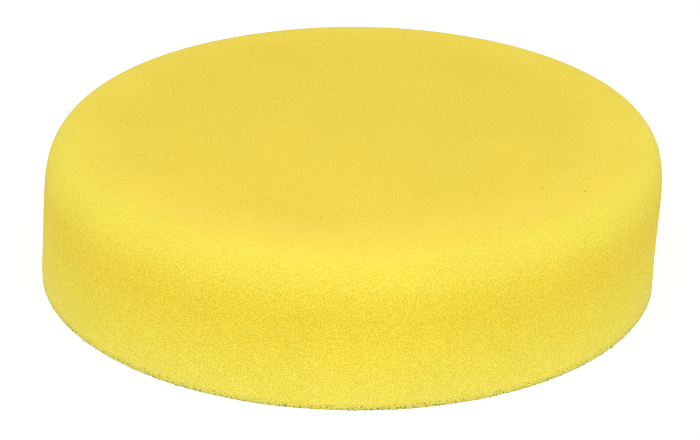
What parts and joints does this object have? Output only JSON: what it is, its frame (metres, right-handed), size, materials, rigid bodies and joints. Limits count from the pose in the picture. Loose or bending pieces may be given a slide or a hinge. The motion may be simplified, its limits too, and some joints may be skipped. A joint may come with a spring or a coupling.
{
  "type": "polishing pad",
  "caption": "Round foam polishing pad with a soft rounded shoulder and a loop fabric backing for a hook-faced plate.",
  "frame": {"origin": "on the pad's axis, on the plane that the loops rest on", "axes": "+Z along the pad's axis, from the loop backing to the polishing face; the pad is round, so +X and +Y are any two directions across it"},
  "size_m": [0.15, 0.15, 0.038],
  "materials": {
    "foam": "matt open-cell polyurethane foam, medium yellow",
    "adhesive": "satin hot-melt adhesive, set",
    "backing": "matt knitted polyamide, charcoal",
    "loops": "brushed polyamide loops, charcoal, slight sheen"
  },
  "bodies": {
    "root": {"foam_pad": "foam", "adhesive_film": "adhesive", "backing_cloth": "backing", "loop_pile": "loops"}
  },
  "joints": []
}
